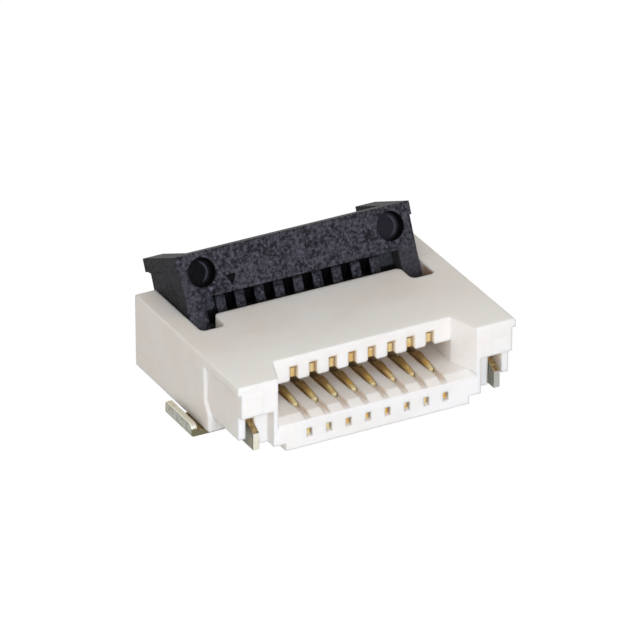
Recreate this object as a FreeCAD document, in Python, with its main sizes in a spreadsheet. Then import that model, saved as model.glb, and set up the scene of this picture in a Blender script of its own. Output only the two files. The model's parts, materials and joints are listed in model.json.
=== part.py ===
import FreeCAD, Part
import math
import os
import Sketcher

# Flat cable connector for a circuit board: a moulded housing with a slot at the front,
# a row of stamped contacts, two solder hold-downs and a locking lever that turns on
# trunnions at the back. The lever stands open. Millimetres, X across the row, Y from the
# cable side to the back, Z up from the board. The origin lies on the board, on the centre
# line, under the front face.

SIZES = {
    # row of contacts and cable slot
    "pitch": 0.5,
    "contact_count": 8,
    "slot_margin": 0.535,
    "slot_floor": 0.85,
    "slot_height": 0.56,
    "slot_depth": 2.45,
    "mouth_depth": 0.76,
    "mouth_flare": 0.265,
    # housing outside
    "side_width": 1.27,
    "housing_depth": 5.1,
    "housing_height": 2.0,
    "lip_gap": 0.11,
    "side_gap": 0.2,
    "lip_overhang": 0.07,
    "edge_radius": 0.04,
    # side walls and the front corners under the side blocks
    "rim_height": 0.2,
    "side_recess": 0.09,
    "recess_depth": 1.66,
    "recess_corner": 0.16,
    "step_radius": 0.06,
    "foot_step_top": 0.88,
    "foot_step_low": 0.6,
    "corner_depth": 1.45,
    "undercut_top": 1.2,
    "undercut_depth": 0.3,
    "room_depth": 0.75,
    "room_radius": 0.12,
    "pillar_width": 0.11,
    "thin_wall": 0.175,
    "thin_wall_front": 0.17,
    "thin_wall_low": 0.59,
    "front_low": 0.3,
    # channels that hold the contacts
    "channel_width": 0.2,
    "channel_floor": 0.34,
    "channel_front": 0.06,
    "groove_depth": 0.09,
    "lead_in_depth": 0.28,
    "lead_in_drop": 0.11,
    "hole_width": 0.14,
    "hole_height": 0.22,
    "tooth_radius": 0.06,
    # opening for the lever
    "lever_edge": 3.42,
    "tongue_wall": 0.125,
    "pocket_front": 2.81,
    "pocket_radius": 0.14,
    "base_top": 0.62,
    "base_depth": 4.6,
    # contact blade
    "blade_thickness": 0.15,
    "nose_front": 0.14,
    "rail_height": 0.24,
    "bump_front": 0.73,
    "bump_crest": 1.33,
    "bump_back": 2.05,
    "bump_height": 0.1,
    "beam_front": 0.86,
    "beam_cover": 0.3,
    "beam_height": 0.25,
    "web_front": 2.6,
    "web_width": 0.28,
    "arm_end": 4.3,
    "arm_taper": 0.12,
    "tip_width": 0.09,
    "tip_drop": 0.07,
    "tail_gap": 0.08,
    "tail_reach": 0.67,
    "tail_height": 0.15,
    "jaw_gap": 0.03,
    "blade_radius": 0.05,
    # locking lever
    "pivot_depth": 0.8,
    "pivot_setback": 0.598,
    "lever_lean": 25.35,
    "lever_clearance": 0.05,
    "arm_gap": 0.1,
    "arm_width": 0.47,
    "bar_low": 0.873,
    "bar_top": 1.922,
    "bar_thickness": 0.48,
    "ear_back": 0.83,
    "rim_back": 1.0,
    "ear_rim": 0.32,
    "rim_overhang": 0.05,
    "toe_reach": 0.7,
    "rib_width": 0.24,
    "rib_recess": 0.29,
    "rib_knee": 0.45,
    "rib_top": 0.166,
    "web_recess": 0.4,
    "hood_radius": 0.5,
    "hood_wall": 0.15,
    "hood_start": 37.0,
    "hood_end": 110.0,
    "cam_long": 0.24,
    "cam_short": 0.17,
    "trunnion_radius": 0.17,
    "trunnion_clearance": 0.02,
    "dimple_radius": 0.35,
    "dimple_depth": 0.28,
    "dimple_round": 0.08,
    "dimple_inset": 0.54,
    "dimple_height": 1.45,
    "mark_width": 0.26,
    "mark_depth": 0.05,
    # solder hold-downs
    "sheet_thickness": 0.15,
    "blade_gap": 0.035,
    "seat_clearance": 0.01,
    "blade_front": 0.03,
    "blade_low": 0.33,
    "blade_top": 0.94,
    "blade_drop": 0.2,
    "blade_slope": 0.39,
    "foot_front": 1.72,
    "foot_back": 2.6,
    "foot_end": 3.05,
    "foot_reach": 0.305,
    "foot_height": 0.32,
    "eye_wall": 0.17,
    "eye_mouth": 0.26,
    "fold_radius": 0.08,
    "toe_radius": 0.15,
    "coined_radius": 0.04,
}


class Length:
    """A number, with the formula over the sheet's cells that gives it."""

    def __init__(self, number, formula):
        self.number = number
        self.formula = formula

    def __add__(self, other):
        other = length(other)
        return Length(self.number + other.number, f"({self.formula} + {other.formula})")

    def __sub__(self, other):
        other = length(other)
        return Length(self.number - other.number, f"({self.formula} - {other.formula})")

    def __mul__(self, other):
        other = length(other)
        return Length(self.number * other.number, f"({self.formula} * {other.formula})")

    def __truediv__(self, other):
        other = length(other)
        return Length(self.number / other.number, f"({self.formula} / {other.formula})")

    def __neg__(self):
        return Length(-self.number, f"(0 - {self.formula})")

    def __rsub__(self, other):
        return length(other) - self


def length(value):
    return value if isinstance(value, Length) else Length(float(value), repr(float(value)))


def sine(angle):
    return Length(math.sin(math.radians(angle.number)), f"sin({angle.formula} * 1 deg)")


def cosine(angle):
    return Length(math.cos(math.radians(angle.number)), f"cos({angle.formula} * 1 deg)")


doc = FreeCAD.newDocument("FlatCableConnector")
sheet = doc.addObject("Spreadsheet::Sheet", "Sizes")
for row, (name, number) in enumerate(SIZES.items(), start=1):
    sheet.set(f"A{row}", name)
    sheet.set(f"B{row}", str(number))
    sheet.setAlias(f"B{row}", name)
doc.recompute()


class Sheet:
    """The sheet's cells as lengths, by name."""

    def __getattr__(self, name):
        return Length(float(SIZES[name]), f"Sizes.{name}")


size = Sheet()
ZERO = length(0)
OUTSIDE = length(1)
ACROSS = FreeCAD.Vector(1, 0, 0)
BACKWARDS = FreeCAD.Vector(0, 1, 0)
UPWARDS = FreeCAD.Vector(0, 0, 1)
OTHER_END = {1: 2, 2: 1}

# Half widths, from the row outwards
half_row = size.pitch * (size.contact_count - 1) / 2
half_slot = half_row + size.slot_margin
half_mouth = half_slot + size.mouth_flare
half_lip = half_slot + size.lip_overhang
pillar_side = half_mouth + size.pillar_width
half_width = half_slot + size.side_width
half_tongue = half_slot + size.tongue_wall
arm_inner = half_tongue + size.arm_gap
arm_outer = arm_inner + size.arm_width
pocket_outer = arm_outer + size.lever_clearance
blade_inner = arm_outer + size.blade_gap
blade_outer = blade_inner + size.sheet_thickness
blade_slot_inner = blade_inner - size.seat_clearance
blade_slot_outer = blade_outer + size.seat_clearance
thin_wall_inner = half_width - size.side_recess - size.thin_wall

# Heights and places shared by several pieces
slot_ceiling = size.slot_floor + size.slot_height
pivot_height = size.housing_height - size.pivot_depth
pivot_back = size.lever_edge + size.pivot_setback
eye_radius = size.trunnion_radius + size.trunnion_clearance
eye_outside = eye_radius + size.eye_wall
blade_slot_top = size.blade_top + size.seat_clearance
eye_slot_top = pivot_height + eye_outside + size.seat_clearance
rail_top = size.channel_floor + size.rail_height
jaw_reach = size.cam_long + size.jaw_gap
beam_top = size.housing_height - size.beam_cover
beam_low = beam_top - size.beam_height
channel_top = beam_top + size.jaw_gap * 2
groove_end = size.bump_front - size.jaw_gap * 2
groove_floor = size.slot_floor - size.groove_depth


def new_body(label):
    body = doc.addObject("PartDesign::Body", label)
    body.Label = label
    return body


def origin_feature(body, role):
    return next(item for item in body.Origin.OriginFeatures if item.Role == role)


def new_sketch(body, plane, name, offset=ZERO):
    """An empty sketch on one of the body's own planes, moved along its normal."""
    sketch = body.newObject("Sketcher::SketchObject", name)
    sketch.AttachmentSupport = [(origin_feature(body, plane), "")]
    sketch.MapMode = "FlatFace"
    sketch.AttachmentOffset = FreeCAD.Placement(
        FreeCAD.Vector(0, 0, offset.number), FreeCAD.Rotation()
    )
    sketch.setExpression("AttachmentOffset.Base.z", offset.formula)
    return sketch


def pin_point(sketch, curve, end, point):
    """Ties one end of a curve to its two lengths from the sketch's origin."""
    for kind, distance in zip(("DistanceX", "DistanceY"), point):
        distance = length(distance)
        tie = sketch.addConstraint(
            Sketcher.Constraint(kind, -1, 1, curve, end, distance.number)
        )
        sketch.setExpression(f"Constraints[{tie}]", distance.formula)


def arc_about_origin(start, end, radius):
    """An arc between two points, and which of its ends lies at the first: a sketch's arc
    always runs anticlockwise."""
    angles = [math.atan2(start.y, start.x), math.atan2(end.y, end.x)]
    anticlockwise = start.cross(end).z > 0
    if not anticlockwise:
        angles.reverse()
    circle = Part.Circle(FreeCAD.Vector(), FreeCAD.Vector(0, 0, 1), radius)
    return Part.ArcOfCircle(circle, *angles), 1 if anticlockwise else 2


def add_outline(sketch, points, bends=None):
    """A closed outline through the points. It runs straight from each to the next, or
    bends about the sketch's origin after the points numbered in bends, at the radius
    given there."""
    bends = bends or {}
    count = len(points)
    corners = [
        FreeCAD.Vector(length(x).number, length(y).number, 0) for x, y in points
    ]
    curves = []
    for i, (start, end) in enumerate(zip(corners, corners[1:] + corners[:1])):
        shape, first_end = Part.LineSegment(start, end), 1
        if i in bends:
            shape, first_end = arc_about_origin(start, end, bends[i].number)
        curves.append((sketch.addGeometry(shape), first_end))
    for i, point in enumerate(points):
        before, before_start = curves[i - 1]
        before_end = OTHER_END[before_start]
        after, after_start = curves[i]
        sketch.addConstraint(
            Sketcher.Constraint("Coincident", before, before_end, after, after_start)
        )
        pin_point(sketch, after, after_start, point)
    for i, radius in bends.items():
        tie_radius(sketch, curves[i][0], radius)


def tie_radius(sketch, curve, radius):
    tie = sketch.addConstraint(Sketcher.Constraint("Radius", curve, radius.number))
    sketch.setExpression(f"Constraints[{tie}]", radius.formula)


def add_circle(sketch, centre, radius):
    middle = FreeCAD.Vector(length(centre[0]).number, length(centre[1]).number, 0)
    curve = sketch.addGeometry(
        Part.Circle(middle, FreeCAD.Vector(0, 0, 1), radius.number)
    )
    pin_point(sketch, curve, 3, centre)
    tie_radius(sketch, curve, radius)


def add_box(sketch, low, high):
    add_outline(sketch, [low, (high[0], low[1]), high, (low[0], high[1])])


def add_box_pair(sketch, inner, outer, low, high):
    """The same box on both sides of the centre line."""
    add_box(sketch, (inner, low), (outer, high))
    add_box(sketch, (-outer, low), (-inner, high))


def pad(body, sketch, name, thickness, middle=False, backwards=False):
    feature = body.newObject("PartDesign::Pad", name)
    feature.Profile = sketch
    feature.Length = thickness.number
    feature.setExpression("Length", thickness.formula)
    feature.Midplane = middle
    feature.Reversed = backwards
    doc.recompute()
    return feature


def pocket(body, sketch, name, depth=None, middle=False, backwards=False):
    """Cuts the sketch out of the body, and stops if that takes nothing away."""
    before = body.Shape.Volume
    feature = body.newObject("PartDesign::Pocket", name)
    feature.Profile = sketch
    if depth is None:
        feature.Type = "ThroughAll"
    else:
        feature.Length = depth.number
        feature.setExpression("Length", depth.formula)
    feature.Midplane = middle
    feature.Reversed = backwards
    doc.recompute()
    if not body.Shape.Volume < before:
        raise RuntimeError(f"{body.Label}: {name} cuts nothing")
    return feature


def row_pattern(body, features, name, occurrences):
    """Repeats features across the row, one contact pitch apart."""
    pattern = body.newObject("PartDesign::LinearPattern", name)
    pattern.Originals = features
    pattern.Direction = (origin_feature(body, "X_Axis"), [""])
    span = size.pitch * (occurrences - 1)
    pattern.Length = span.number
    pattern.setExpression("Length", span.formula)
    pattern.Occurrences = round(occurrences.number)
    pattern.setExpression("Occurrences", occurrences.formula)
    body.Tip = pattern
    doc.recompute()
    return pattern


def near(first, second):
    return abs(first - length(second).number) < 1e-4


def pick_edges(shape, directions, test):
    """Names of the straight edges that run along one of the directions and whose two ends
    both pass the test."""
    names = []
    for number, edge in enumerate(shape.Edges, start=1):
        ends = [vertex.Point for vertex in edge.Vertexes]
        if len(ends) != 2 or edge.Curve.TypeId != "Part::GeomLine":
            continue
        way = edge.Curve.Direction
        along = any(abs(way.dot(direction)) > 0.9999 for direction in directions)
        if along and all(test(point) for point in ends):
            names.append(f"Edge{number}")
    return names


def pick_circles(shape, test):
    """Names of the full circles whose centres pass the test."""
    names = []
    for number, edge in enumerate(shape.Edges, start=1):
        full = len(edge.Vertexes) == 1 and edge.Curve.TypeId == "Part::GeomCircle"
        if full and test(edge.Curve.Center):
            names.append(f"Edge{number}")
    return names


def fillet(body, name, radius, directions, test):
    names = pick_edges(body.Shape, directions, test)
    return fillet_edges(body, name, radius, names)


def fillet_edges(body, name, radius, names):
    if not names:
        raise RuntimeError(f"{body.Label}: {name} finds no edge")
    base = body.Tip
    feature = body.newObject("PartDesign::Fillet", name)
    feature.Base = (base, names)
    feature.Radius = radius.number
    feature.setExpression("Radius", radius.formula)
    doc.recompute()
    return feature


def make_housing():
    body = new_body("housing")
    side = half_width + OUTSIDE

    # Block with a lip hanging lower between the side walls
    sketch = new_sketch(body, "XZ_Plane", "housing_outline")
    add_outline(
        sketch,
        [
            (-half_lip, size.lip_gap),
            (half_lip, size.lip_gap),
            (half_lip, size.side_gap),
            (half_width, size.side_gap),
            (half_width, size.housing_height),
            (-half_width, size.housing_height),
            (-half_width, size.side_gap),
            (-half_lip, size.side_gap),
        ],
    )
    pad(body, sketch, "block", size.housing_depth, backwards=True)

    # Outer walls set in below a rim, as far back as a step that runs forward at its foot
    recess_top = size.housing_height - size.rim_height
    recess_outline = [
        (-OUTSIDE, -OUTSIDE),
        (size.corner_depth, -OUTSIDE),
        (size.corner_depth, size.foot_step_low),
        (size.recess_depth, size.foot_step_top),
        (size.recess_depth, recess_top),
        (-OUTSIDE, recess_top),
    ]
    recess_side = half_width - size.side_recess
    for name, start in (("left_recess", -recess_side), ("right_recess", recess_side)):
        sketch = new_sketch(body, "YZ_Plane", f"{name}_outline", start)
        add_outline(sketch, recess_outline)
        pocket(body, sketch, name, OUTSIDE, backwards=start.number > 0)
    fillet(
        body,
        "step_curve",
        size.recess_corner,
        [ACROSS],
        lambda p: any(near(p.y, y) and near(p.z, z) for y, z in recess_outline[2:4]),
    )
    fillet(
        body,
        "step_round",
        size.step_radius,
        [UPWARDS],
        lambda p: near(abs(p.x), half_width) and near(p.y, size.recess_depth),
    )

    # Cable slot, and its flared mouth, open upwards
    sketch = new_sketch(body, "XZ_Plane", "slot_outline")
    add_box(sketch, (-half_slot, size.slot_floor), (half_slot, slot_ceiling))
    pocket(body, sketch, "cable_slot", size.slot_depth)
    sketch = new_sketch(body, "XY_Plane", "mouth_outline", size.slot_floor)
    add_outline(
        sketch,
        [
            (-half_mouth, ZERO),
            (half_mouth, ZERO),
            (half_slot, size.mouth_depth),
            (-half_slot, size.mouth_depth),
        ],
    )
    pocket(
        body, sketch, "mouth", size.housing_height - size.slot_floor, backwards=True
    )

    # Slot floor sloped down towards the cable
    sketch = new_sketch(body, "YZ_Plane", "lead_in_outline")
    add_outline(
        sketch,
        [
            (-OUTSIDE, size.slot_floor),
            (-OUTSIDE, size.slot_floor - size.lead_in_drop),
            (ZERO, size.slot_floor - size.lead_in_drop),
            (size.lead_in_depth, size.slot_floor),
        ],
    )
    pocket(body, sketch, "lead_in", half_mouth * 2, middle=True)

    # Front corners: set back under the side blocks beside a slim pillar, with the
    # outer wall cut short and room for the hold-down's blade
    sketch = new_sketch(body, "XZ_Plane", "undercut_outline")
    add_box_pair(sketch, pillar_side, thin_wall_inner, -OUTSIDE, size.undercut_top)
    pocket(body, sketch, "undercut", size.undercut_depth)
    sketch = new_sketch(body, "XZ_Plane", "wall_front_outline")
    add_box_pair(sketch, thin_wall_inner, side, -OUTSIDE, size.undercut_top)
    pocket(body, sketch, "wall_front", size.thin_wall_front)
    sketch = new_sketch(body, "XZ_Plane", "blade_room_outline")
    add_box_pair(sketch, blade_slot_inner, thin_wall_inner, -OUTSIDE, size.undercut_top)
    pocket(body, sketch, "blade_room", size.room_depth)
    fillet(
        body,
        "room_round",
        size.room_radius,
        [BACKWARDS],
        lambda p: near(abs(p.x), thin_wall_inner) and near(p.z, size.undercut_top),
    )
    sketch = new_sketch(body, "XZ_Plane", "front_low_outline")
    add_box_pair(sketch, half_lip, side, -OUTSIDE, size.front_low)
    pocket(body, sketch, "front_low_cut", size.corner_depth)
    sketch = new_sketch(body, "XZ_Plane", "thin_wall_outline")
    add_box_pair(sketch, thin_wall_inner, side, -OUTSIDE, size.thin_wall_low)
    pocket(body, sketch, "thin_wall_cut", size.corner_depth)
    sketch = new_sketch(body, "XZ_Plane", "blade_passage_outline")
    add_box_pair(sketch, blade_slot_inner, thin_wall_inner, -OUTSIDE, blade_slot_top)
    pocket(body, sketch, "blade_passage", size.corner_depth)
    sketch = new_sketch(body, "XZ_Plane", "blade_slot_outline")
    add_box_pair(sketch, blade_slot_inner, blade_slot_outer, -OUTSIDE, blade_slot_top)
    pocket(body, sketch, "blade_slot", size.housing_depth)

    # Room for the hold-down's eye round the lever's trunnion
    sketch = new_sketch(body, "XY_Plane", "eye_slot_outline")
    eye_front = pivot_back - eye_outside - size.seat_clearance
    eye_end = size.housing_depth + OUTSIDE
    add_box_pair(sketch, blade_slot_inner, blade_slot_outer, eye_front, eye_end)
    pocket(body, sketch, "eye_slot", eye_slot_top, backwards=True)

    # Opening for the lever: down to the base behind the top plate, right through
    # in the two arm pockets and behind the base
    rear = size.housing_depth + OUTSIDE
    sketch = new_sketch(body, "XY_Plane", "lever_opening_outline", size.base_top)
    add_outline(
        sketch,
        [
            (-pocket_outer, rear),
            (-pocket_outer, size.pocket_front),
            (-half_tongue, size.pocket_front),
            (-half_tongue, size.lever_edge),
            (half_tongue, size.lever_edge),
            (half_tongue, size.pocket_front),
            (pocket_outer, size.pocket_front),
            (pocket_outer, rear),
        ],
    )
    pocket(
        body,
        sketch,
        "lever_opening",
        size.housing_height - size.base_top,
        backwards=True,
    )
    sketch = new_sketch(body, "XY_Plane", "arm_pocket_outline")
    add_outline(
        sketch,
        [
            (-pocket_outer, rear),
            (-pocket_outer, size.pocket_front),
            (-half_tongue, size.pocket_front),
            (-half_tongue, size.base_depth),
            (half_tongue, size.base_depth),
            (half_tongue, size.pocket_front),
            (pocket_outer, size.pocket_front),
            (pocket_outer, rear),
        ],
    )
    pocket(body, sketch, "arm_pockets", size.housing_height, backwards=True)
    fillet(
        body,
        "tongue_round",
        size.pocket_radius,
        [UPWARDS],
        lambda p: near(abs(p.x), half_tongue) and near(p.y, size.lever_edge),
    )
    fillet(
        body,
        "pocket_round",
        size.pocket_radius,
        [UPWARDS],
        lambda p: near(abs(p.x), half_tongue) and near(p.y, size.pocket_front),
    )
    fillet(
        body,
        "pocket_corner",
        size.pocket_radius,
        [UPWARDS],
        lambda p: near(abs(p.x), pocket_outer) and near(p.y, size.pocket_front),
    )

    # For each contact a channel that runs on to the front as a tunnel, a guide groove
    # in the slot floor over it, and a small hole through the lip
    tunnel_top = rail_top + size.jaw_gap
    sketch = new_sketch(body, "YZ_Plane", "channel_outline", -half_row)
    add_outline(
        sketch,
        [
            (size.channel_front, size.channel_floor),
            (size.housing_depth, size.channel_floor),
            (size.housing_depth, channel_top),
            (groove_end, channel_top),
            (groove_end, tunnel_top),
            (size.channel_front, tunnel_top),
        ],
    )
    channel = pocket(body, sketch, "channel", size.channel_width, middle=True)
    sketch = new_sketch(body, "XZ_Plane", "lip_hole_outline")
    add_box(
        sketch,
        (-half_row - size.hole_width / 2, size.channel_floor),
        (-half_row + size.hole_width / 2, size.channel_floor + size.hole_height),
    )
    lip_hole = pocket(body, sketch, "lip_hole", size.channel_front * 2)
    sketch = new_sketch(body, "XZ_Plane", "groove_outline")
    add_box(
        sketch,
        (-half_row - size.hole_width / 2, groove_floor),
        (-half_row + size.hole_width / 2, slot_ceiling),
    )
    groove = pocket(body, sketch, "groove", groove_end * 2)
    row_pattern(body, [channel, lip_hole, groove], "channels", size.contact_count)

    # Rounded teeth between the grooves of the top plate, and softened outer edges
    fillet(
        body,
        "tooth_round",
        size.tooth_radius,
        [BACKWARDS],
        lambda p: near(p.z, slot_ceiling)
        and abs(p.x) < half_slot.number - size.tooth_radius.number,
    )
    fillet(
        body,
        "edge_round",
        size.edge_radius,
        [BACKWARDS, ACROSS],
        lambda p: near(p.z, size.housing_height)
        and (near(abs(p.x), half_width) or p.y < size.mouth_depth.number + 0.01),
    )
    return body


def make_contact(number):
    """A stamped blade: two beams facing the cable, an arm over the lever's cam, a jaw
    under it and a solder tail behind."""
    body = new_body(f"contact_{number + 1}")
    rail_low = size.channel_floor
    crest = size.slot_floor + size.bump_height
    web_back = size.web_front + size.web_width
    jaw_top = pivot_height - jaw_reach
    arm_low = pivot_height + jaw_reach
    jaw_front = pivot_back - size.cam_long
    jaw_back = pivot_back + size.cam_long
    arm_tip_low = arm_low - size.tip_drop
    arm_tip_front = size.arm_end - size.tip_width
    arm_tip_top = beam_top - size.arm_taper
    bump_low = size.slot_floor - size.jaw_gap
    tail_start = size.base_depth + size.tail_gap
    tail_end = tail_start + size.tail_reach
    beam_bump_back = size.bump_crest + size.blade_thickness * 2
    sketch = new_sketch(body, "YZ_Plane", "blade_outline")
    add_outline(
        sketch,
        [
            (size.nose_front, rail_low),
            (tail_start, rail_low),
            (tail_start + size.tail_height / 2, ZERO),
            (tail_end, ZERO),
            (tail_end, size.tail_height),
            (tail_start + size.tail_height * 2, size.tail_height),
            (tail_start + size.tail_height * 3 / 2, rail_top),
            (jaw_back, rail_top),
            (jaw_back, jaw_top),
            (jaw_front, jaw_top),
            (jaw_front - size.blade_thickness * 2, rail_top),
            (web_back, rail_top),
            (web_back, beam_low),
            (jaw_front, arm_low),
            (arm_tip_front, arm_low),
            (arm_tip_front, arm_tip_low),
            (size.arm_end, arm_tip_low),
            (size.arm_end, arm_tip_top),
            (web_back, beam_top),
            (size.beam_front, beam_top - size.jaw_gap),
            (size.beam_front, beam_low),
            (size.bump_crest - size.blade_thickness / 2, slot_ceiling),
            (size.bump_crest + size.blade_thickness / 2, slot_ceiling),
            (beam_bump_back, beam_low),
            (size.web_front, beam_low),
            (size.web_front, rail_top),
            (size.bump_back, rail_top),
            (size.bump_crest + size.blade_thickness / 2, crest),
            (size.bump_crest - size.blade_thickness / 2, crest),
            (size.bump_front, bump_low),
            (size.bump_front - size.jaw_gap, rail_top),
            (size.nose_front, rail_top),
        ],
    )
    pad(body, sketch, "blade", size.blade_thickness, middle=True)

    # Rounded contact points, inner corners and tail bend
    rounded = [
        (size.bump_crest + size.blade_thickness / 2, crest),
        (size.bump_crest - size.blade_thickness / 2, crest),
        (size.bump_back, rail_top),
        (size.bump_crest - size.blade_thickness / 2, slot_ceiling),
        (size.bump_crest + size.blade_thickness / 2, slot_ceiling),
        (size.web_front, beam_low),
        (size.web_front, rail_top),
        (web_back, beam_low),
        (web_back, rail_top),
        (tail_start, rail_low),
        (tail_start + size.tail_height * 2, size.tail_height),
        (tail_start + size.tail_height * 3 / 2, rail_top),
        (tail_start + size.tail_height / 2, ZERO),
        (size.arm_end, arm_tip_top),
    ]
    fillet(
        body,
        "blade_round",
        size.blade_radius,
        [ACROSS],
        lambda p: any(near(p.y, y) and near(p.z, z) for y, z in rounded),
    )
    across = size.pitch * number - half_row
    body.Placement = FreeCAD.Placement(
        FreeCAD.Vector(across.number, 0, 0), FreeCAD.Rotation()
    )
    body.setExpression("Placement.Base.x", across.formula)
    return body


def make_hold_down():
    """A folded sheet: a blade up in the side wall that ends in an eye for the lever's
    trunnion, and a solder foot out on the board under the wall, with its rim turned up."""
    body = new_body("hold_down_right")
    foot_side = half_width + size.foot_reach
    nose_top = size.blade_top - size.blade_drop

    # Blade with its eye, open at the back for the trunnion to snap in
    sketch = new_sketch(body, "YZ_Plane", "blade_outline", blade_inner)
    eye_front = pivot_back - eye_outside
    eye_low = pivot_height - eye_outside
    add_outline(
        sketch,
        [
            (size.blade_front, size.blade_low),
            (size.foot_front, size.blade_low),
            (size.foot_front, ZERO),
            (size.foot_back, ZERO),
            (size.foot_back, size.blade_low),
            (pivot_back + eye_radius, size.blade_low),
            (pivot_back + eye_outside, eye_low),
            (pivot_back + eye_outside, pivot_height + eye_outside),
            (eye_front, pivot_height + eye_outside),
            (eye_front, size.blade_top),
            (size.blade_front + size.blade_slope, size.blade_top),
            (size.blade_front, nose_top),
        ],
    )
    pad(body, sketch, "blade", size.sheet_thickness)
    fillet(
        body,
        "eye_round",
        size.eye_wall,
        [ACROSS],
        lambda p: near(p.z, pivot_height + eye_outside),
    )
    sketch = new_sketch(body, "YZ_Plane", "eye_outline", blade_inner)
    add_circle(sketch, (pivot_back, pivot_height), eye_radius)
    pocket(body, sketch, "eye", size.sheet_thickness, backwards=True)
    sketch = new_sketch(body, "YZ_Plane", "eye_mouth_outline", blade_inner)
    add_box(
        sketch,
        (pivot_back, pivot_height - size.eye_mouth / 2),
        (pivot_back + eye_outside * 2, pivot_height + size.eye_mouth / 2),
    )
    pocket(body, sketch, "eye_mouth", size.sheet_thickness, backwards=True)

    # Foot and rim, folded from the same sheet
    foot_depth = size.foot_back - size.foot_front
    sketch = new_sketch(body, "XZ_Plane", "foot_outline", -size.foot_front)
    add_box(sketch, (blade_inner, ZERO), (foot_side, size.sheet_thickness))
    pad(body, sketch, "foot", foot_depth, backwards=True)
    sketch = new_sketch(body, "XZ_Plane", "rim_outline", -size.foot_front)
    rim_inner = foot_side - size.sheet_thickness
    add_box(sketch, (rim_inner, ZERO), (foot_side, size.foot_height))
    pad(body, sketch, "rim", size.foot_end - size.foot_front, backwards=True)
    fillet(
        body,
        "fold_round",
        size.fold_radius,
        [BACKWARDS],
        lambda p: near(p.x, foot_side) and near(p.z, ZERO),
    )
    fillet(
        body,
        "rim_round",
        size.fold_radius,
        [ACROSS],
        lambda p: near(p.z, size.foot_height) and near(p.y, size.foot_end),
    )
    fillet(
        body,
        "toe_round",
        size.toe_radius,
        [ACROSS],
        lambda p: near(p.z, size.foot_height) and near(p.y, size.foot_front),
    )
    fillet(
        body,
        "coined_round",
        size.coined_radius,
        [BACKWARDS],
        lambda p: near(p.x, foot_side) and near(p.z, size.foot_height),
    )
    return body


def make_left_hold_down(right):
    mirrored = doc.addObject("Part::Mirroring", "hold_down_left")
    mirrored.Label = "hold_down_left"
    mirrored.Source = right
    mirrored.Normal = FreeCAD.Vector(1, 0, 0)
    doc.recompute()
    return mirrored


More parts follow.
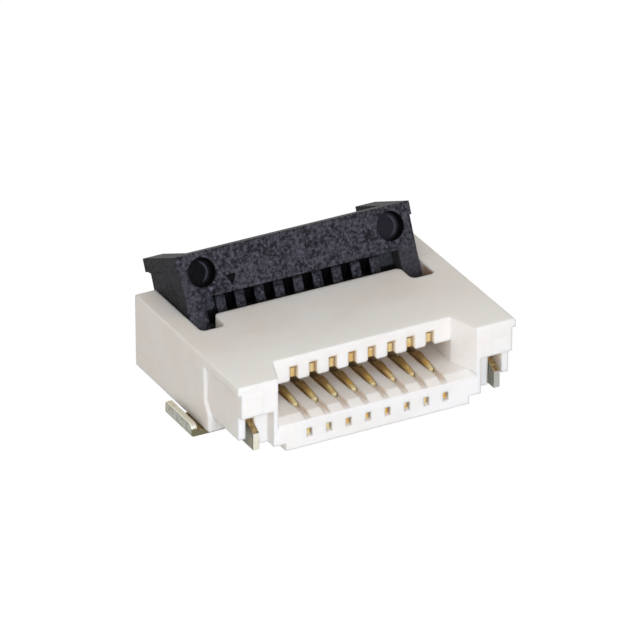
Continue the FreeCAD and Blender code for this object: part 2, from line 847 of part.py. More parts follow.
def make_lever():
    """The lever in its own frame: the trunnions on the X axis, its face towards -Y and
    its bar above. It is then leaned back and set on its pivot."""
    body = new_body("locking_lever")
    face = -size.pivot_depth
    bar_back = face + size.bar_thickness

    # Bar across the whole width
    sketch = new_sketch(body, "YZ_Plane", "bar_outline")
    add_box(sketch, (face, size.bar_low), (bar_back, size.bar_top))
    pad(body, sketch, "bar", arm_outer * 2, middle=True)

    # Hood behind the windows: part of a tube about the pivot, with a neck up to the bar
    hood_outside = size.hood_radius + size.hood_wall
    start_back, start_up = cosine(size.hood_start), sine(size.hood_start)
    end_back, end_up = cosine(size.hood_end), sine(size.hood_end)
    sketch = new_sketch(body, "YZ_Plane", "hood_outline")
    add_outline(
        sketch,
        [
            (start_back * size.hood_radius, start_up * size.hood_radius),
            (start_back * hood_outside, start_up * hood_outside),
            (end_back * hood_outside, end_up * hood_outside),
            (bar_back, size.bar_low + size.rib_top),
            (bar_back - size.hood_wall, size.bar_low + size.rib_top),
            (end_back * size.hood_radius, end_up * size.hood_radius),
        ],
        bends={1: hood_outside, 5: size.hood_radius},
    )
    pad(body, sketch, "hood", arm_inner * 2, middle=True)

    # Cam that turns between the contacts' arms and jaws, and the trunnions
    sketch = new_sketch(body, "YZ_Plane", "cam_outline")
    cam_corner = size.cam_long - size.cam_short / 2
    add_outline(
        sketch,
        [
            (-size.cam_long, ZERO),
            (-cam_corner, -size.cam_short),
            (cam_corner, -size.cam_short),
            (size.cam_long, ZERO),
            (cam_corner, size.cam_short),
            (-cam_corner, size.cam_short),
        ],
    )
    pad(body, sketch, "cam", arm_inner * 2, middle=True)
    sketch = new_sketch(body, "YZ_Plane", "trunnion_outline")
    add_circle(sketch, (ZERO, ZERO), size.trunnion_radius)
    trunnion_span = (blade_outer - size.seat_clearance) * 2
    pad(body, sketch, "trunnions", trunnion_span, middle=True)

    # Ribs beside the windows, and webs set back between the last ribs and the arms
    def rib_outline(recess):
        return [
            (face + recess, size.bar_low + size.rib_top),
            (face + recess, size.bar_low - size.rib_knee),
            (-size.cam_long * 3 / 2, ZERO),
            (-size.cam_long, -size.cam_long),
            (size.cam_short, -size.cam_long),
            (size.cam_long, ZERO),
            (bar_back, size.bar_low),
            (bar_back, size.bar_low + size.rib_top),
        ]

    last_rib = half_row + size.pitch / 2
    sketch = new_sketch(body, "YZ_Plane", "rib_outline", -last_rib)
    add_outline(sketch, rib_outline(size.rib_recess))
    rib = pad(body, sketch, "rib", size.rib_width, middle=True)
    row_pattern(body, [rib], "ribs", size.contact_count + 1)
    web_width = arm_inner - last_rib
    for name, start in (("left_web", -arm_inner), ("right_web", last_rib)):
        sketch = new_sketch(body, "YZ_Plane", f"{name}_outline", start)
        add_outline(sketch, rib_outline(size.web_recess))
        pad(body, sketch, name, web_width)

    # Ears at both ends, from the toe below the pivot to the rim at the top
    rim_low = size.bar_top - size.ear_rim
    toe = size.toe_reach
    ear_outline = [
        (face, -toe),
        (face + size.rib_top, -toe - size.rib_top / 2),
        (size.cam_long, -size.cam_long * 2),
        (size.ear_back, size.cam_long),
        (size.ear_back, rim_low - size.lever_clearance),
        (size.rim_back, rim_low),
        (size.rim_back, size.bar_top),
        (face, size.bar_top),
    ]
    for name, start in (("left_ear", -arm_outer), ("right_ear", arm_inner)):
        sketch = new_sketch(body, "YZ_Plane", f"{name}_outline", start)
        add_outline(sketch, ear_outline)
        pad(body, sketch, name, size.arm_width)
    rim_outline = [
        (face, rim_low),
        (size.rim_back, rim_low),
        (size.rim_back, size.bar_top),
        (face, size.bar_top),
    ]
    rim_side = arm_outer + size.rim_overhang
    for name, start in (("left_rim", -rim_side), ("right_rim", arm_outer)):
        sketch = new_sketch(body, "YZ_Plane", f"{name}_outline", start)
        add_outline(sketch, rim_outline)
        pad(body, sketch, name, size.rim_overhang)

    # Round dimples in the face near both ends, and a plain triangle for the first contact
    sketch = new_sketch(body, "XZ_Plane", "dimple_outline", size.pivot_depth)
    dimple_side = arm_outer - size.dimple_inset
    add_circle(sketch, (-dimple_side, size.dimple_height), size.dimple_radius)
    add_circle(sketch, (dimple_side, size.dimple_height), size.dimple_radius)
    pocket(body, sketch, "dimples", size.dimple_depth)
    floor = face + size.dimple_depth
    names = pick_circles(body.Shape, lambda p: near(p.y, floor))
    fillet_edges(body, "dimple_round", size.dimple_round, names)
    sketch = new_sketch(body, "XZ_Plane", "mark_outline", size.pivot_depth)
    mark_low = size.bar_low + size.mark_width / 2
    add_outline(
        sketch,
        [
            (-half_row, mark_low),
            (-half_row + size.mark_width / 2, mark_low + size.mark_width),
            (-half_row - size.mark_width / 2, mark_low + size.mark_width),
        ],
    )
    pocket(body, sketch, "first_contact_mark", size.mark_depth)

    # Set on the pivot, leaning back
    body.Placement = FreeCAD.Placement(
        FreeCAD.Vector(0, pivot_back.number, pivot_height.number),
        FreeCAD.Rotation(FreeCAD.Vector(-1, 0, 0), size.lever_lean.number),
    )
    body.setExpression("Placement.Base.y", pivot_back.formula)
    body.setExpression("Placement.Base.z", pivot_height.formula)
    body.setExpression("Placement.Rotation.Angle", size.lever_lean.formula)
    return body


right_hold_down = make_hold_down()
pieces = [make_housing(), right_hold_down, make_left_hold_down(right_hold_down)]
pieces += [make_contact(number) for number in range(SIZES["contact_count"])]
pieces.append(make_lever())
doc.recompute()

for item in doc.Objects:
    if "Invalid" in item.State or "Error" in item.State:
        raise RuntimeError(f"{item.Label} failed: {item.State}")
for piece in pieces:
    if piece.Shape.isNull() or not piece.Shape.isValid():
        raise RuntimeError(f"{piece.Label} has no valid shape")

os.makedirs("parts", exist_ok=True)
for piece in pieces:
    piece.Shape.exportStep(f"parts/{piece.Label}.step")
    box = piece.Shape.BoundBox
    print(piece.Label, len(piece.Shape.Solids), round(piece.Shape.Volume, 4), box)
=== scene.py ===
import json
import math

import bpy
from mathutils import Matrix, Vector

# Flat cable connector: ivory moulded housing, black locking lever leaning back, gold
# contacts and plated hold-downs, on a white floor under soft studio light. Metres, in the
# part's own frame: X across the row, Y from the cable side to the back, Z up.

MM = 0.001

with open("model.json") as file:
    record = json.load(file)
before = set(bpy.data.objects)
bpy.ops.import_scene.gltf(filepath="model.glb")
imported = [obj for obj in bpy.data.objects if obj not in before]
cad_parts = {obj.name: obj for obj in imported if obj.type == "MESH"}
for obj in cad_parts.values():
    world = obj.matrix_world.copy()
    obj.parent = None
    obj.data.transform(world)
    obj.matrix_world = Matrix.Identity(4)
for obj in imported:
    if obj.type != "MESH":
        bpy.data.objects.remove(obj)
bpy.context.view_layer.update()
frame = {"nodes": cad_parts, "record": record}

# Camera: a long lens, from the left and above
CAMERA_TARGET = Vector((0, 2.5, 1.0)) * MM
CAMERA_AZIMUTH = -28.12
CAMERA_ELEVATION = 28.19
CAMERA_DISTANCE = 151.7 * MM
CAMERA_LENS = 373.6
CAMERA_SHIFT_RIGHT = -0.135 * MM
CAMERA_SHIFT_UP = 0.600 * MM

# Studio: a large lamp in front and to the left, a fill on the left, and an even world
FLOOR_WIDTH = 0.6
FLOOR_GREY = 0.8
FLOOR_WHITE_LEVEL = 1.08
FLOOR_WHITE_SHARE = 0.9
KEY_LAMP_PLACE = Vector((-9.8, -33, 16.3)) * MM
KEY_LAMP_SIZE = 27 * MM
KEY_LAMP_POWER = 0.0112
KEY_LAMP_COLOUR = (0.85, 0.945, 1.14)
FILL_LAMP_PLACE = Vector((-100, 0, 30)) * MM
FILL_LAMP_SIZE = 80 * MM
FILL_LAMP_POWER = 0.006
FILL_LAMP_COLOUR = (1.0, 0.98, 0.98)
WORLD_LEVEL = 0.47
WORLD_COLOUR = (1.0, 0.95, 0.87, 1)

# Materials: how far a limit fades unless it says otherwise, in millimetres, and the
# samples that soften an edge
SOFT = 0.02
EDGE_SAMPLES = 4


def grey(level):
    return (level, level, level, 1)


class Signal:
    """A socket that gives a value. Python's operators on it add Math nodes."""

    def __init__(self, finish, socket):
        self.finish = finish
        self.socket = socket

    def __add__(self, other):
        return self.finish.maths("ADD", self, other)

    def __radd__(self, other):
        return self.finish.maths("ADD", other, self)

    def __sub__(self, other):
        return self.finish.maths("SUBTRACT", self, other)

    def __rsub__(self, other):
        return self.finish.maths("SUBTRACT", other, self)

    def __mul__(self, other):
        return self.finish.maths("MULTIPLY", self, other)

    def __rmul__(self, other):
        return self.finish.maths("MULTIPLY", other, self)

    def __abs__(self):
        return self.finish.maths("ABSOLUTE", self)


class Finish:
    """The nodes of a material or a world. Lengths on the piece are in millimetres."""

    def __init__(self, owner):
        self.owner = owner
        owner.use_nodes = True
        self.tree = owner.node_tree
        self.tree.nodes.clear()

    def node(self, kind, settings=None, values=None, output=0):
        """Any node: its settings first, then the values or links of its sockets."""
        node = self.tree.nodes.new(kind)
        for name, setting in (settings or {}).items():
            setattr(node, name, setting)
        for socket, value in (values or {}).items():
            if isinstance(value, Signal):
                self.tree.links.new(value.socket, node.inputs[socket])
            else:
                node.inputs[socket].default_value = value
        return Signal(self, node.outputs[output])

    def maths(self, operation, first, second=0.0):
        return self.node("ShaderNodeMath", {"operation": operation}, {0: first, 1: second})

    def larger(self, first, second):
        return self.maths("MAXIMUM", first, second)

    def place(self, stretch=(1, 1, 1)):
        """Where a point lies on the piece, in millimetres times the stretch."""
        spot = self.node("ShaderNodeTexCoord", output="Object")
        scale = [factor / MM for factor in stretch]
        return self.node("ShaderNodeMapping", {}, {"Vector": spot, "Scale": scale})

    def facing(self):
        """Which way the surface faces, as its parts to the right, the back and up."""
        return self.split(self.node("ShaderNodeTexCoord", output="Normal"))

    def split(self, vector):
        """The vector's three parts."""
        node = self.node("ShaderNodeSeparateXYZ", {}, {0: vector}).socket.node
        return [Signal(self, part) for part in node.outputs]

    def length(self, first, second):
        """The length of a vector with these two parts."""
        whole = self.node("ShaderNodeCombineXYZ", {}, {0: first, 1: second})
        return self.node("ShaderNodeVectorMath", {"operation": "LENGTH"}, {0: whole}, output=1)

    def noise(self, place, scale, detail=2.0, roughness=0.5):
        values = {"Vector": place, "Scale": scale, "Detail": detail, "Roughness": roughness}
        return self.node("ShaderNodeTexNoise", {}, values)

    def between(self, value, low, high):
        """0 at low, 1 at high, and smooth in between."""
        settings = {"interpolation_type": "SMOOTHSTEP"}
        return self.node("ShaderNodeMapRange", settings, {0: value, 1: low, 2: high})

    def within(self, value, limit, soft=SOFT):
        """1 below the limit and 0 a little above it."""
        return 1 - self.between(value, limit, limit + soft)

    def mix(self, factor, first, second):
        """From the first colour to the second."""
        settings = {"data_type": "RGBA"}
        return self.node("ShaderNodeMix", settings, {0: factor, 6: first, 7: second}, output=2)

    def tinted(self, colour, tints):
        """The colour under its tints, each a share and a colour, laid on one by one."""
        for share, tint in tints:
            colour = self.mix(share, colour, tint)
        return colour

    def bump(self, height, distance, strength, radius):
        """The surface's normal, with its grain, and with its edges softened."""
        samples = {"samples": EDGE_SAMPLES}
        rounded = self.node("ShaderNodeBevel", samples, {"Radius": radius * MM})
        values = {"Height": height, "Distance": distance * MM, "Strength": strength}
        values["Normal"] = rounded
        return self.node("ShaderNodeBump", {}, values)

    def end(self, shader, kind="ShaderNodeOutputMaterial"):
        """Links the last shader and gives back the material or the world."""
        output = self.tree.nodes.new(kind)
        self.tree.links.new(shader.socket, output.inputs["Surface"])
        return self.owner

    def surface(self, values):
        return self.end(self.node("ShaderNodeBsdfPrincipled", {}, values))


def new_finish(name):
    return Finish(bpy.data.materials.new(name))


# Ivory plastic

WARM_IVORY = (0.845, 0.780, 0.695, 1)
PALE_IVORY = (0.890, 0.850, 0.785, 1)
PAINTED_LIGHT_IVORY = (0.98, 0.935, 0.86, 1)
SEAM_IVORY = (0.72, 0.68, 0.62, 1)
SLOT_PAINTED_LIGHT_IVORY = (0.985, 0.92, 0.87, 1)
CHANNEL_PAINTED_GOLD_SHADE = (0.74, 0.58, 0.42, 1)
POCKET_PAINTED_SHADE = (0.50, 0.27, 0.15, 1)
ARM_SHADE = (0.05, 0.035, 0.025, 1)
PAINTED_GOLD_REFLECTION = (0.93, 0.70, 0.44, 1)
PLATE_SHADE = (0.50, 0.38, 0.26, 1)
CHANNEL_DEEP_PAINTED_SHADE = (0.45, 0.32, 0.17, 1)

# The top, from this height up: painted light, paler at the front, and less so towards the back
TOP_LOW = 1.9
TOP_PALE_BACK = 0.5
TOP_PALE_FADE = 2.0

# The side blocks: the lines that the mould's inserts leave on their fronts
SEAM_HEIGHT = 1.64
SEAM_SIDE = 2.93
SEAM_HALF_WIDTH = 0.006
SEAM_SHARE = 0.2

# The row of contacts and their channels, which get painted shade and a painted reflection of
# the gold
FIRST_CONTACT = -1.75
HALF_PITCH = 0.25
ROW_HALF_WIDTH = 1.9
CHANNEL_REACH = 0.115
CHANNEL_FLOOR_REACH = 0.09
CHANNEL_TOP = 1.78
CHANNEL_FRONT = 0.02
CHANNEL_FRONT_FULL = 0.4

# The slot, open in front of the top plate, with painted light on its floor there, and painted
# shade behind it under the plate
PLATE_FRONT = 0.76
PLATE_SHADE_BACK = 1.4
SLOT_HALF_WIDTH = 2.3
SLOT_TOP = 1.25
MOUTH_HALF_WIDTH = 2.6
MOUTH_FLOOR_TOP = 0.75

# The pockets beside the lever's arms, which get painted shade
POCKET_MIDDLE = 3.05
POCKET_HALF_WIDTH = 0.15
POCKET_FRONT = 2.75
POCKET_BACK = 3.3

# The rooms beside the hold-down blades, which get a painted reflection of the gold
ROOM_INNER = 2.95
ROOM_OUTER = 3.3
ROOM_TOP = 1.19
ROOM_BACK = 1.0


def block_seams(finish, aside, back, up):
    """1 on the seam lines of the side blocks."""
    level = finish.within(abs(up - SEAM_HEIGHT), SEAM_HALF_WIDTH)
    level = level * finish.between(aside, SEAM_SIDE, SEAM_SIDE + SOFT)
    upright = finish.within(abs(aside - SEAM_SIDE), SEAM_HALF_WIDTH)
    return finish.larger(level, upright) * finish.within(back, SOFT)


def channel_shares(finish, across, back, up):
    """The contacts' channels: painted shade in front of the plate, a painted reflection of the
    gold under it, and painted shade deeper under it.
    """
    from_contact = finish.maths("PINGPONG", across - FIRST_CONTACT, HALF_PITCH)
    channel = finish.within(from_contact, CHANNEL_REACH) * finish.within(up, CHANNEL_TOP)
    channel = channel * finish.within(abs(across), ROW_HALF_WIDTH)
    ahead_painted_shade = finish.between(back, CHANNEL_FRONT, CHANNEL_FRONT_FULL)
    ahead_painted_shade = ahead_painted_shade * finish.within(back, PLATE_FRONT)
    ahead_painted_shade = ahead_painted_shade * channel * finish.within(from_contact, CHANNEL_FLOOR_REACH, 0.01)
    reflection_under_plate = channel * finish.between(back, PLATE_FRONT - 0.06, PLATE_FRONT + 0.04)
    deeper_painted_shade = channel * finish.between(back, PLATE_FRONT + 0.06, PLATE_FRONT + 0.3)
    return ahead_painted_shade, reflection_under_plate, deeper_painted_shade


def slot_shares(finish, upward, aside, back, up):
    """The slot: its floor in front of the plate, for painted light, and all of it under the
    plate, for painted shade.
    """
    painted_light_floor = upward * finish.within(aside, MOUTH_HALF_WIDTH)
    painted_light_floor = painted_light_floor * finish.within(up, MOUTH_FLOOR_TOP)
    painted_light_floor = painted_light_floor * finish.within(back, PLATE_FRONT, 0.3)
    shaded = finish.within(aside, SLOT_HALF_WIDTH) * finish.within(up, SLOT_TOP)
    shaded = shaded * finish.between(back, PLATE_FRONT, PLATE_SHADE_BACK)
    return painted_light_floor, shaded


def pocket_shares(finish, aside, back, up):
    """The pockets beside the lever's arms, for painted shade: the whole of each, and the part
    by the arm.
    """
    pocket = finish.within(abs(aside - POCKET_MIDDLE), POCKET_HALF_WIDTH)
    pocket = pocket * finish.between(back, POCKET_FRONT, POCKET_FRONT + 0.05)
    pocket = pocket * finish.within(back, POCKET_BACK, 0.3) * finish.within(up, TOP_LOW, 0.08)
    return pocket, pocket * finish.within(aside, POCKET_MIDDLE - POCKET_HALF_WIDTH, 0.22)


def blade_room(finish, aside, back, up):
    """1 in the rooms beside the hold-down blades, for a painted reflection of the gold, and
    fading in from the front.
    """
    room = finish.between(aside, ROOM_INNER, ROOM_INNER + 0.05)
    room = room * finish.within(aside, ROOM_OUTER, 0.005) * finish.within(up, ROOM_TOP)
    return room * finish.between(back, 0.0, 0.5) * finish.within(back, ROOM_BACK)


def ivory_plastic():
    """Warm white moulding with clouds, flow lines and a fine grain, painted shade in hollows
    and painted light.
    """
    finish = new_finish("ivory_plastic")
    place = finish.place()
    across, back, up = finish.split(place)
    aside = abs(across)
    clouds = finish.noise(place, scale=0.7, detail=3.0, roughness=0.55)
    mottle = finish.noise(place, scale=5.0, detail=3.0, roughness=0.6)
    flow = finish.noise(finish.place((0.8, 1.2, 1.2)), scale=1.1)
    grain = finish.noise(place, scale=45.0, roughness=0.6)
    tone = finish.between(clouds * 0.55 + flow * 0.25 + mottle * 0.2, 0.34, 0.66)

    upward = finish.between(finish.facing()[2], 0.6, 0.9)
    # Painted light: the top paler at its front, less so towards the back
    top_painted_light = finish.within(back, TOP_PALE_BACK, TOP_PALE_FADE)
    top_painted_light = top_painted_light * upward * finish.between(up, TOP_LOW, TOP_LOW + 0.08)
    seams = block_seams(finish, aside, back, up)
    slot_floor_painted_light, slot_shade = slot_shares(finish, upward, aside, back, up)
    front_channel_painted_shade, channel, deep_channel_painted_shade = channel_shares(finish, across, back, up)
    pocket, beside_arm = pocket_shares(finish, aside, back, up)
    # Painted reflection of the gold: on the channels' walls under the plate, and in the blade
    # rooms
    glow = finish.larger(channel, blade_room(finish, aside, back, up))
    relief = grain * 0.6 + mottle * 0.4 - seams
    return finish.surface({
        "Base Color": finish.tinted(finish.mix(tone, WARM_IVORY, PALE_IVORY), [
            # Painted light on the top's front
            (top_painted_light * 0.85, PAINTED_LIGHT_IVORY),
            (seams * SEAM_SHARE, SEAM_IVORY),
            # Painted light on the slot's floor in front of the plate
            (slot_floor_painted_light, SLOT_PAINTED_LIGHT_IVORY),
            # Painted shade, warmed by the gold, on the channels' floors in front of the plate
            (front_channel_painted_shade * 0.6, CHANNEL_PAINTED_GOLD_SHADE),
            # Painted shade in the pockets, and darker by the arms
            (pocket * 0.75, POCKET_PAINTED_SHADE),
            (beside_arm * 0.85, ARM_SHADE),
            # Painted reflection of the gold
            (glow * 0.6, PAINTED_GOLD_REFLECTION),
            (slot_shade * 0.6, PLATE_SHADE),
            # Painted shade, darker, deep in the channels under the plate
            (deep_channel_painted_shade * 0.9, CHANNEL_DEEP_PAINTED_SHADE),
        ]),
        "Roughness": 0.44 + 0.12 * mottle,
        "Normal": finish.bump(relief, distance=0.004, strength=0.6, radius=0.07),
        "Subsurface Weight": 0.35,
        "Subsurface Radius": (0.32 * MM, 0.26 * MM, 0.21 * MM),
        "Subsurface Scale": 1.0,
    })


# Black plastic

BLACK = (0.010, 0.010, 0.012, 1)
SLATE = (0.050, 0.047, 0.055, 1)
VIOLET = (0.113, 0.103, 0.131, 1)
SIDE_PAINTED_SHADE = (0.014, 0.014, 0.015, 1)
TOP_PAINTED_SHEEN = grey(0.15)
SMOOTH_GREY = (0.044, 0.043, 0.045, 1)
PAINTED_SHADE_BLACK = grey(0.001)
PAINTED_HIGHLIGHT_VIOLET = (0.12, 0.11, 0.14, 1)

# The lever's own frame: depth into its face and height along it, from the pivot
PIVOT_BACK = 4.018
PIVOT_HEIGHT = 1.2
LEVER_LEAN = math.radians(25.35)
FACE_DEPTH = -0.8

# The comb under the bar: ribs, windows, and the hood that closes the windows behind
BAR_LOW = 0.873
RIB_DEPTH = -0.51
COMB_HALF_WIDTH = 2.12
SMOOTH_END = 1.92
WINDOW_BACK = -0.25
HOOD_RADIUS = 0.5
HOOD_BACK = -0.05

# The dimples, with part of a ring painted bright on the floor of each, as a highlight
DIMPLE_SIDE = 2.44
DIMPLE_HEIGHT = 1.45
DIMPLE_RADIUS = 0.35
DIMPLE_FLOOR = -0.52
RING_RADIUS = 0.25
RING_HALF_WIDTH = 0.01

# The marks on the face: a triangle, and a pimple and a dent under the left dimple
TRIANGLE_ACROSS = -1.75
TRIANGLE_HEIGHT = 1.13
TRIANGLE_REACH = 0.2
PIMPLE_ACROSS = -2.29
PIMPLE_HEIGHT = 1.04
PIMPLE_RADIUS = 0.03
DENT_ACROSS = -2.2
DENT_HEIGHT = 0.965
DENT_HALF_LENGTH = 0.14
DENT_FLATNESS = 4


def lever_place(finish, back, up):
    """Depth into the lever's face, height along it, and distance from its pivot."""
    behind = back - PIVOT_BACK
    above = up - PIVOT_HEIGHT
    depth = behind * math.cos(LEVER_LEAN) - above * math.sin(LEVER_LEAN)
    height = behind * math.sin(LEVER_LEAN) + above * math.cos(LEVER_LEAN)
    return depth, height, finish.length(behind, above)


def seen_through_windows(finish, aside, depth, height, from_pivot):
    """1 on the front of the hood and on the walls of the windows, which are painted black as
    shade.
    """
    hood = finish.between(from_pivot, HOOD_RADIUS - 0.08, HOOD_RADIUS - 0.04)
    hood = hood * finish.within(from_pivot, HOOD_RADIUS + 0.15, 0.05)
    hood = hood * finish.within(depth, HOOD_BACK)
    walls = finish.between(depth, RIB_DEPTH + 0.02, RIB_DEPTH + 0.05)
    walls = walls * finish.within(height, BAR_LOW + 0.03) * finish.within(depth, WINDOW_BACK)
    walls = walls * finish.within(aside, ROW_HALF_WIDTH, 0.05)
    return finish.larger(hood, walls)


def under_bar(finish, aside, depth, height):
    """1 at the top of the ribs, where the bar's shadow is painted, and fading downwards."""
    shade = finish.between(height, BAR_LOW - 0.14, BAR_LOW - 0.02)
    shade = shade * finish.within(height, BAR_LOW + 0.01)
    shade = shade * finish.between(depth, FACE_DEPTH + 0.1, FACE_DEPTH + 0.2)
    return shade * finish.within(aside, COMB_HALF_WIDTH)


def dimple_shares(finish, across, depth, height):
    """The dimples, and their painted highlight: an arc on each floor, and the right one's
    whole floor.
    """
    side = finish.maths("SIGN", across)
    from_centre = finish.length(abs(across) - DIMPLE_SIDE, height - DIMPLE_HEIGHT)
    dimple = finish.within(from_centre, DIMPLE_RADIUS)
    dimple = dimple * finish.within(depth, DIMPLE_FLOOR + 0.02)
    floor = dimple * finish.between(depth, DIMPLE_FLOOR - 0.03, DIMPLE_FLOOR)
    arc = finish.within(abs(from_centre - RING_RADIUS), RING_HALF_WIDTH, 0.03) * floor
    arc = arc * finish.between(across - side * DIMPLE_SIDE, 0.05, 0.2)
    return dimple, arc * 0.4 + floor * (0.07 + 0.07 * side)


def face_marks(finish, across, depth, height):
    """The triangle, the pimple and the dent."""
    on_face = finish.within(depth, FACE_DEPTH + 0.1)
    from_triangle = finish.length(across - TRIANGLE_ACROSS, height - TRIANGLE_HEIGHT)
    from_pimple = finish.length(across - PIMPLE_ACROSS, height - PIMPLE_HEIGHT)
    from_dent = finish.length(across - DENT_ACROSS, (height - DENT_HEIGHT) * DENT_FLATNESS)
    triangle = finish.within(from_triangle, TRIANGLE_REACH) * on_face
    pimple = finish.within(from_pimple, PIMPLE_RADIUS, 0.03) * on_face
    dent = finish.within(from_dent, DENT_HALF_LENGTH, 0.08) * on_face
    return triangle, pimple, dent


def black_plastic():
    """Black moulding full of glass fibre: blue-grey specks on black, with painted shade and
    sheen.
    """
    finish = new_finish("black_plastic")
    place = finish.place()
    across, back, up = finish.split(place)
    aside = abs(across)
    specks = finish.noise(place, scale=11.0, detail=4.0, roughness=0.7)
    stretched = finish.place((1.0, 0.7, 0.7))
    fibres = finish.noise(stretched, scale=24.0, detail=3.0, roughness=0.65)
    patches = finish.noise(place, scale=2.2)
    grain = finish.noise(place, scale=40.0, roughness=0.6)
    body = finish.mix(finish.between(specks * 0.75 + patches * 0.25, 0.41, 0.57), BLACK, SLATE)
    bright = finish.between(fibres * 0.55 + specks * 0.45, 0.49, 0.62)

    facing = finish.facing()
    sideways = abs(facing[0])
    upward = finish.between(facing[2], 0.75, 0.95)
    depth, height, from_pivot = lever_place(finish, back, up)
    smooth = finish.between(across, SMOOTH_END, SMOOTH_END + 0.08)
    smooth = smooth * finish.within(height, BAR_LOW)
    # Painted shade: black where the windows show the hood and their walls
    hidden = seen_through_windows(finish, aside, depth, height, from_pivot)
    dimple, wear_and_painted_highlight = dimple_shares(finish, across, depth, height)
    triangle, pimple, dent = face_marks(finish, across, depth, height)
    sunk = finish.between(depth, FACE_DEPTH + 0.01, FACE_DEPTH + 0.03)
    # Painted shade: the sunk dimples and triangle near black, and the dent darker
    dark = sunk * finish.larger(dimple, triangle) * 0.95 + dent * 0.6
    relief = specks * 0.8 + grain * 0.2 + pimple - dent
    return finish.surface({
        "Base Color": finish.tinted(body, [
            # Painted shade: side faces darker, with fainter specks
            (bright * (0.62 - 0.55 * sideways), VIOLET),
            (sideways * 0.6, SIDE_PAINTED_SHADE),
            # Painted sheen: upward faces greyer
            (upward * 0.5, TOP_PAINTED_SHEEN),
            (smooth * 0.6, SMOOTH_GREY),
            # Painted shadow under the bar, and painted shade in the windows, dimples, triangle
            # and dent
            (under_bar(finish, aside, depth, height) * 0.85, PAINTED_SHADE_BLACK),
            (finish.larger(dark, hidden), PAINTED_SHADE_BLACK),
            # Painted highlight: the pimple and the dimples' floors lighter
            (pimple + wear_and_painted_highlight, PAINTED_HIGHLIGHT_VIOLET),
        ]),
        "Roughness": 0.68 - 0.16 * specks + 0.1 * dark,
        "Specular IOR Level": 0.09,
        "Normal": finish.bump(relief, distance=0.026, strength=0.9, radius=0.04),
    })


# Sheet metal

def rolled_share(finish):
    """1 on the sheet's rolled faces, 0 on its cut edges, for a sheet that stands upright."""
    return finish.between(abs(finish.facing()[0]), 0.5, 0.9)


# Gold

GOLD = (0.88, 0.53, 0.11, 1)
BRIGHT_GOLD = (1.0, 0.86, 0.40, 1)
TIP_PAINTED_HIGHLIGHT = (1.0, 0.92, 0.56, 1)
UPPER_ARM_PAINTED_SHADE = (0.50, 0.31, 0.12, 1)
DULL_GOLD_AND_PAINTED_SHADE = (0.46, 0.30, 0.12, 1)

# Where a contact's beam gets its painted highlight and where painted shade begins on it, where
# its upper arm begins, and how the painted shade of its left side ends
TIP_BACK = 0.7
TIP_LOW = 0.55
BEAM_PAINTED_SHADE_START = 0.92
BEAM_PAINTED_SHADE_END = 1.16
ARM_LOW = 1.2
LEFT_SIDE = -0.045
LEFT_SIDE_FADE = 0.04


def gold_contact():
    """Gold over nickel: bright cut edges, darker sides with rolling marks, painted highlights
    and painted shade.
    """
    finish = new_finish("gold_contact")
    across, back, up = finish.split(finish.place())
    pitches = (across - FIRST_CONTACT) * (0.5 / HALF_PITCH) + 0.5
    off_centre = (finish.maths("FRACT", pitches) - 0.5) * (2 * HALF_PITCH)
    strokes = finish.noise(finish.place((30, 1.5, 8)), scale=1.0, roughness=0.6)
    wear_and_painted_highlight = finish.noise(finish.place((9, 4, 4)), scale=1.0)
    # Painted highlight at the front of the beam
    tip = finish.within(back, TIP_BACK, 0.25) * finish.between(up, TIP_LOW, TIP_LOW + 0.05)
    # Painted shade on the beam under the plate; the rolled sides darker too
    dull_and_painted_shade = finish.between(back, BEAM_PAINTED_SHADE_START, BEAM_PAINTED_SHADE_END) * finish.within(up, ARM_LOW)
    dull_and_painted_shade = finish.larger(rolled_share(finish), dull_and_painted_shade)
    # Bright patches, partly worn gold and partly painted highlight
    edge = finish.mix(finish.between(wear_and_painted_highlight, 0.44, 0.62), GOLD, BRIGHT_GOLD)
    return finish.surface({
        "Base Color": finish.tinted(edge, [
            (tip * 0.6, TIP_PAINTED_HIGHLIGHT),
            # Painted shade on each contact's left side
            (finish.within(off_centre, LEFT_SIDE, LEFT_SIDE_FADE) * 0.75, DULL_GOLD_AND_PAINTED_SHADE),
            # Painted shade on the upper arm
            (finish.between(up, ARM_LOW, ARM_LOW + 0.1) * 0.5, UPPER_ARM_PAINTED_SHADE),
            (dull_and_painted_shade * 0.92, DULL_GOLD_AND_PAINTED_SHADE),
        ]),
        "Metallic": 0.5 + 0.25 * dull_and_painted_shade,
        "Roughness": 0.30 + 0.12 * strokes,
        "Normal": finish.bump(strokes, distance=0.002, strength=0.4, radius=0.03),
    })


# Plated sheet

TIN = (0.30, 0.31, 0.26, 1)
PALE_TIN = (0.46, 0.47, 0.41, 1)
BLADE_SHADE = (0.06, 0.065, 0.05, 1)
PAINTED_LIT_EDGE = (0.80, 0.77, 0.65, 1)
PAINTED_SHADED_EDGE = (0.44, 0.44, 0.40, 1)
BRONZE = (0.52, 0.37, 0.15, 1)
DARK_BRONZE = (0.20, 0.12, 0.035, 1)
TOE_PAINTED_SHADE = (0.13, 0.115, 0.055, 1)

# The foot's flat and the nose of the blade, browner than the rest
FOOT_TOP = 0.2
FOOT_FRONT = 1.0
NOSE_BACK = 0.5
NOSE_LOW = 0.7


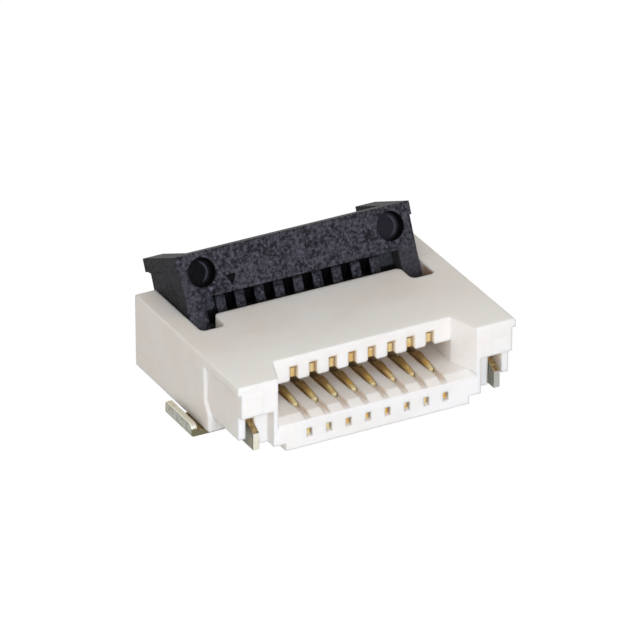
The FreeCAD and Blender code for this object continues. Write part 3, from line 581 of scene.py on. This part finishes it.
def plated_sheet():
    """Tin over bronze: grey-green rolled faces, painted shade on the blades and the toe, cut
    edges painted from lit cream to shaded grey, brown on foot and nose.
    """
    finish = new_finish("plated_sheet")
    place = finish.place()
    across, back, up = finish.split(place)
    wear_and_painted_highlight = finish.noise(place, scale=2.5, detail=3.0, roughness=0.6)
    specks = finish.noise(place, scale=11.0, detail=4.0, roughness=0.7)
    strokes = finish.noise(finish.place((3, 20, 20)), scale=1.0, roughness=0.6)

    facing = finish.facing()
    upward = finish.between(facing[2], 0.25, 0.6)
    forward = finish.between(facing[1], -0.3, -0.8)
    on_foot = finish.between(back, FOOT_FRONT, FOOT_FRONT + 0.5)
    flat = finish.within(up, FOOT_TOP, 0.06)
    nose = finish.within(back, NOSE_BACK, 0.05) * finish.between(up, NOSE_LOW, NOSE_LOW + 0.06)
    # Painted shade on the toe, the foot's forward face
    toe = forward * finish.within(up, FOOT_TOP, 0.03) * on_foot
    rolled = finish.mix(finish.between(specks, 0.42, 0.60), TIN, PALE_TIN)
    # Painted shade on the blades' rolled faces, off the foot
    rolled = finish.mix(0.65 - 0.65 * on_foot, rolled, BLADE_SHADE)
    # Cut edges painted lit on the left and shaded on the right
    edge = finish.mix(finish.between(across, -1.0, 1.0), PAINTED_LIT_EDGE, PAINTED_SHADED_EDGE)
    streaks = finish.mix(finish.between(specks, 0.40, 0.58), DARK_BRONZE, BRONZE)
    relief = strokes * 0.4 + specks * 0.6
    return finish.surface({
        "Base Color": finish.tinted(finish.mix(rolled_share(finish), edge, rolled), [
            (finish.between(wear_and_painted_highlight, 0.48, 0.70) * 0.3, BRONZE),
            (toe * 0.95, TOE_PAINTED_SHADE),
            (upward * finish.larger(flat, nose) * 0.9, streaks),
        ]),
        "Metallic": 0.8,
        "Roughness": 0.36 + 0.16 * specks,
        "Normal": finish.bump(relief, distance=0.008, strength=0.7, radius=0.03),
    })


FINISHES = {
    "ivory_plastic": ivory_plastic(),
    "black_plastic": black_plastic(),
    "gold_contact": gold_contact(),
    "plated_sheet": plated_sheet(),
}


def dress(part, slot):
    """Gives every face of a part one finish."""
    part.data.materials.clear()
    part.data.materials.append(FINISHES[slot])


for subpart in frame["record"]["subparts"]:
    dress(frame["nodes"][subpart["node"]], subpart["material_slot"])


# Studio

def aim(thing, target):
    direction = target - thing.location
    thing.rotation_mode = "QUATERNION"
    thing.rotation_quaternion = direction.to_track_quat("-Z", "Y")


def add_lamp(name, place, size, power, colour):
    lamp = bpy.data.lights.new(name, "AREA")
    lamp.shape = "DISK"
    lamp.size = size
    lamp.energy = power
    lamp.color = colour
    holder = bpy.data.objects.new(name, lamp)
    holder.location = place
    holder.visible_camera = False
    bpy.context.scene.collection.objects.link(holder)
    aim(holder, CAMERA_TARGET)


def seen_by(finish, *rays):
    """1 for the named kinds of ray, and 0 for the light that falls on the object."""
    seen = finish.node("ShaderNodeLightPath", output=rays[0])
    for ray in rays[1:]:
        seen = finish.larger(seen, finish.node("ShaderNodeLightPath", output=ray))
    return seen


def floor_finish():
    """White where it is seen, with the object's soft shadow kept in it."""
    finish = new_finish("studio_floor")
    paper = finish.node("ShaderNodeBsdfDiffuse", {}, {"Color": grey(FLOOR_GREY)})
    glow = {"Color": grey(1.0), "Strength": FLOOR_WHITE_LEVEL}
    white = finish.node("ShaderNodeEmission", {}, glow)
    seen = seen_by(finish, "Is Camera Ray", "Is Glossy Ray", "Is Transmission Ray")
    share = seen * FLOOR_WHITE_SHARE
    return finish.end(finish.node("ShaderNodeMixShader", {}, {0: share, 1: paper, 2: white}))


def add_floor():
    floor = bpy.data.meshes.new("studio_floor")
    half = FLOOR_WIDTH / 2
    corners = [(-half, -half), (half, -half), (half, half), (-half, half)]
    floor.from_pydata([(x, y, 0) for x, y in corners], [], [(0, 1, 2, 3)])
    floor.materials.append(floor_finish())
    sheet = bpy.data.objects.new("studio_floor", floor)
    bpy.context.scene.collection.objects.link(sheet)


def add_world():
    """White where it is seen, and dimmer and warmer as the light on the object."""
    sky = Finish(bpy.data.worlds.new("studio_world"))
    seen = seen_by(sky, "Is Camera Ray", "Is Glossy Ray")
    colour = sky.mix(seen, WORLD_COLOUR, grey(1.0))
    strength = seen * (1 - WORLD_LEVEL) + WORLD_LEVEL
    light = sky.node("ShaderNodeBackground", {}, {"Color": colour, "Strength": strength})
    bpy.context.scene.world = sky.end(light, "ShaderNodeOutputWorld")


def add_camera():
    azimuth = math.radians(CAMERA_AZIMUTH)
    elevation = math.radians(CAMERA_ELEVATION)
    level = math.cos(elevation)
    back = Vector((math.sin(azimuth) * level, -math.cos(azimuth) * level, math.sin(elevation)))
    right = Vector((math.cos(azimuth), math.sin(azimuth), 0))
    up = back.cross(right)
    eye = CAMERA_TARGET + right * CAMERA_SHIFT_RIGHT + up * CAMERA_SHIFT_UP
    turn = Matrix((right, up, back)).transposed()
    lens = bpy.data.cameras.new("camera")
    lens.lens = CAMERA_LENS
    lens.clip_start = CAMERA_DISTANCE / 100
    lens.clip_end = CAMERA_DISTANCE * 20
    camera = bpy.data.objects.new("camera", lens)
    camera.matrix_world = Matrix.Translation(eye + back * CAMERA_DISTANCE) @ turn.to_4x4()
    bpy.context.scene.collection.objects.link(camera)
    bpy.context.scene.camera = camera


add_floor()
add_world()
add_lamp("key_lamp", KEY_LAMP_PLACE, KEY_LAMP_SIZE, KEY_LAMP_POWER, KEY_LAMP_COLOUR)
add_lamp("fill_lamp", FILL_LAMP_PLACE, FILL_LAMP_SIZE, FILL_LAMP_POWER, FILL_LAMP_COLOUR)
add_camera()
bpy.context.scene.view_settings.view_transform = "Standard"
